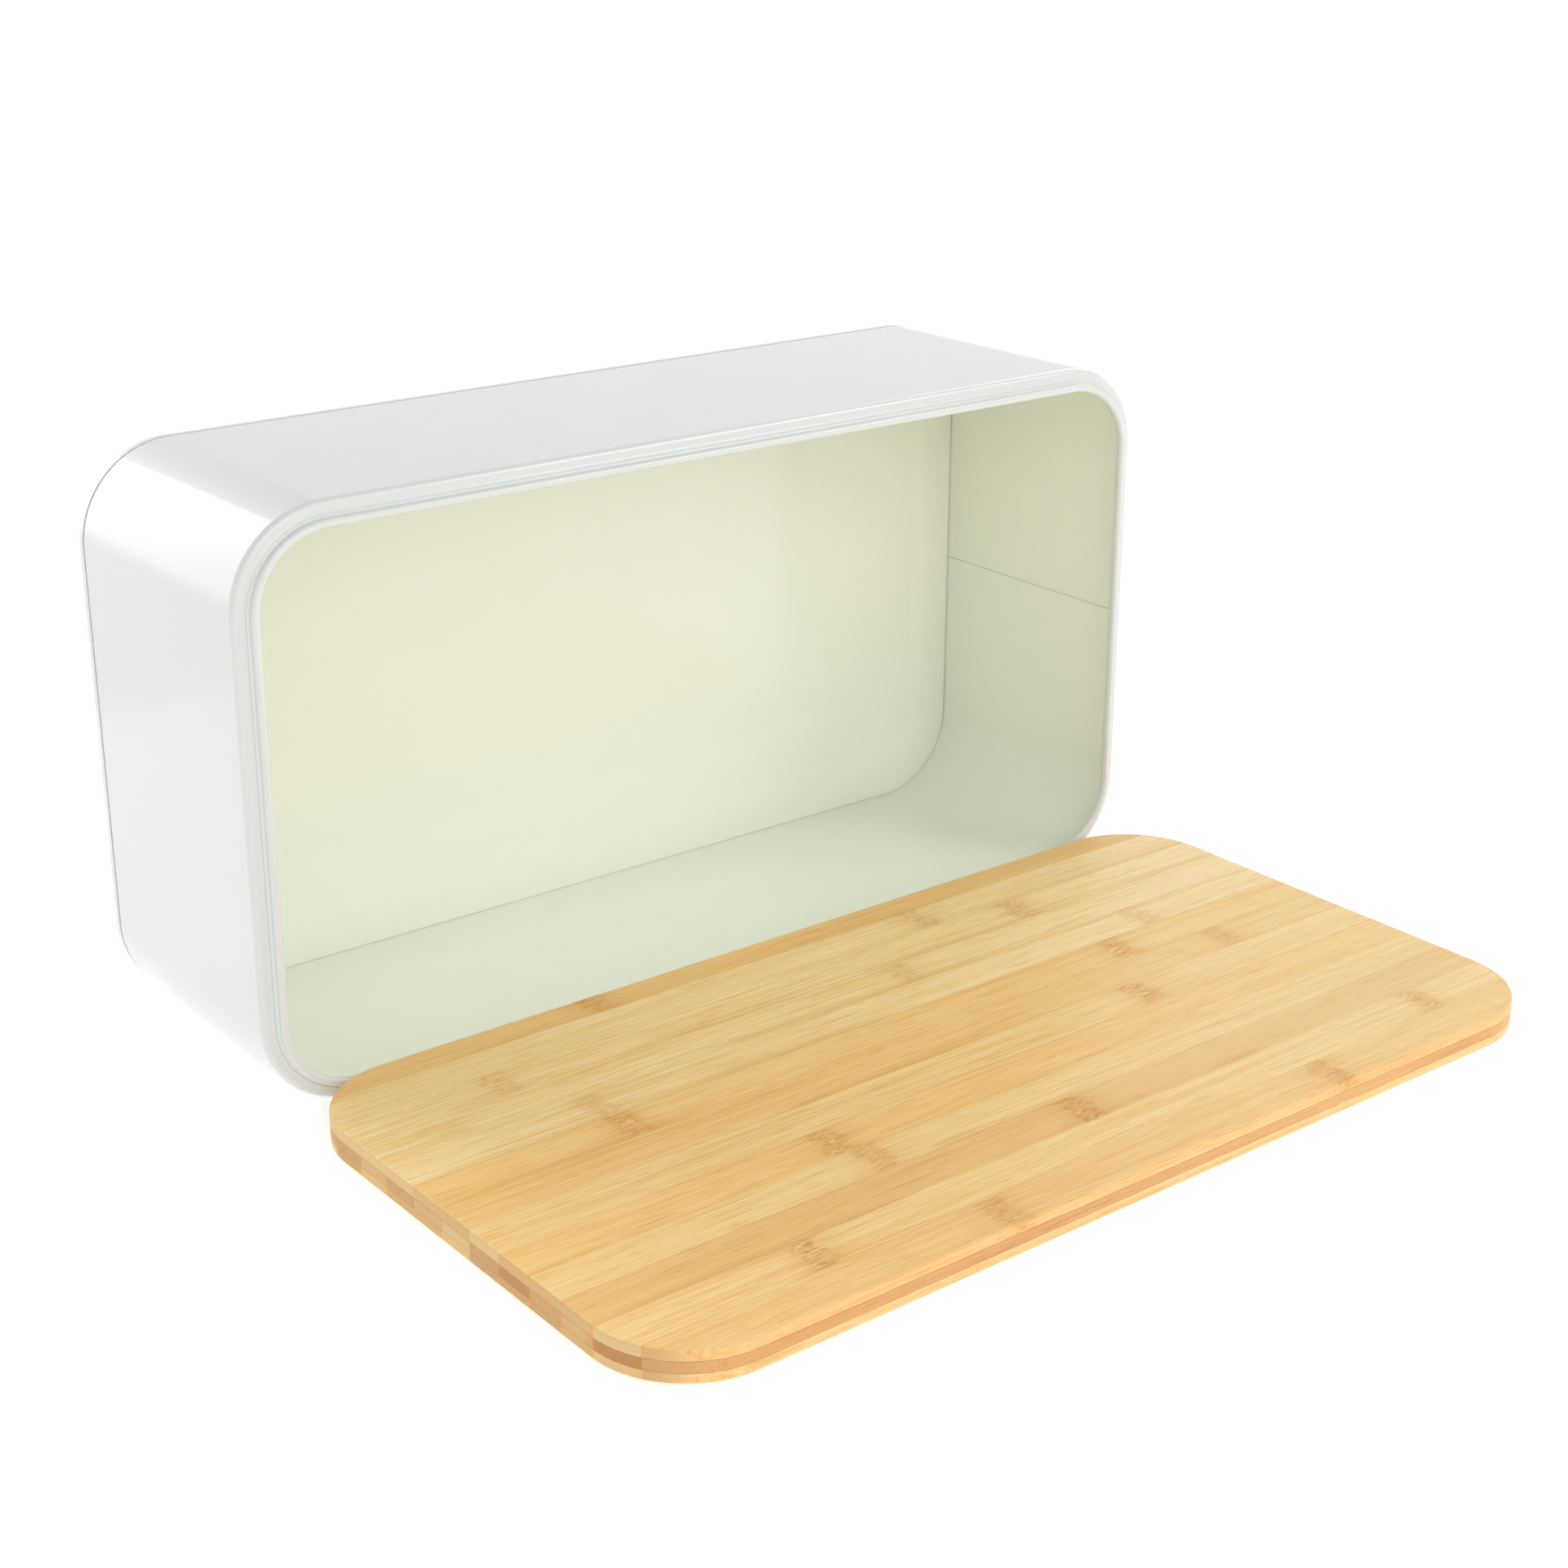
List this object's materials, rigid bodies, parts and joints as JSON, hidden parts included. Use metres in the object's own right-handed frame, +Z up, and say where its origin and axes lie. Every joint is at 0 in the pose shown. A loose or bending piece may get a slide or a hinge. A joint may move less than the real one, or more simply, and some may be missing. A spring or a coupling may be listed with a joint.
{
  "type": "bread bin",
  "caption": "Rounded sheet-steel bread bin lying on one long wall, with its loose three-ply bamboo board lid flat on the floor in front of the mouth.",
  "frame": {"origin": "centre of the long wall that the bin lies on, at floor level", "axes": "+X along the bin's long side, +Y from the mouth towards the base, +Z up from the floor"},
  "size_m": [0.3385, 0.2746, 0.175],
  "materials": {
    "wall_paint": "gloss cream-white enamel paint",
    "base_paint": "gloss cream-white enamel paint",
    "bamboo_top": "satin oiled bamboo, light",
    "bamboo_core": "satin oiled bamboo, caramel",
    "bamboo_bottom": "satin oiled bamboo, light"
  },
  "bodies": {
    "bin": {"wall_band": "wall_paint", "base_pan": "base_paint"},
    "lid": {"lid_bottom_strip_01": "bamboo_bottom", "lid_bottom_strip_02": "bamboo_bottom", "lid_bottom_strip_03": "bamboo_bottom", "lid_bottom_strip_04": "bamboo_bottom", "lid_bottom_strip_05": "bamboo_bottom", "lid_bottom_strip_06": "bamboo_bottom", "lid_bottom_strip_07": "bamboo_bottom", "lid_bottom_strip_08": "bamboo_bottom", "lid_bottom_strip_09": "bamboo_bottom", "lid_bottom_strip_10": "bamboo_bottom", "lid_bottom_strip_11": "bamboo_bottom", "lid_bottom_strip_12": "bamboo_bottom", "lid_bottom_strip_13": "bamboo_bottom", "lid_core_strip_01": "bamboo_core", "lid_core_strip_02": "bamboo_core", "lid_core_strip_03": "bamboo_core", "lid_core_strip_04": "bamboo_core", "lid_core_strip_05": "bamboo_core", "lid_core_strip_06": "bamboo_core", "lid_core_strip_07": "bamboo_core", "lid_core_strip_08": "bamboo_core", "lid_core_strip_09": "bamboo_core", "lid_core_strip_10": "bamboo_core", "lid_core_strip_11": "bamboo_core", "lid_core_strip_12": "bamboo_core", "lid_core_strip_13": "bamboo_core", "lid_top_strip_01": "bamboo_top", "lid_top_strip_02": "bamboo_top", "lid_top_strip_03": "bamboo_top", "lid_top_strip_04": "bamboo_top", "lid_top_strip_05": "bamboo_top", "lid_top_strip_06": "bamboo_top", "lid_top_strip_07": "bamboo_top", "lid_top_strip_08": "bamboo_top", "lid_top_strip_09": "bamboo_top", "lid_top_strip_10": "bamboo_top", "lid_top_strip_11": "bamboo_top", "lid_top_strip_12": "bamboo_top", "lid_top_strip_13": "bamboo_top"}
  },
  "joints": [
    {"name": "lid_lift", "type": "slide", "parent": "bin", "child": "lid", "axis": [0, 0, 1], "range_m": [0, 0.2]}
  ]
}
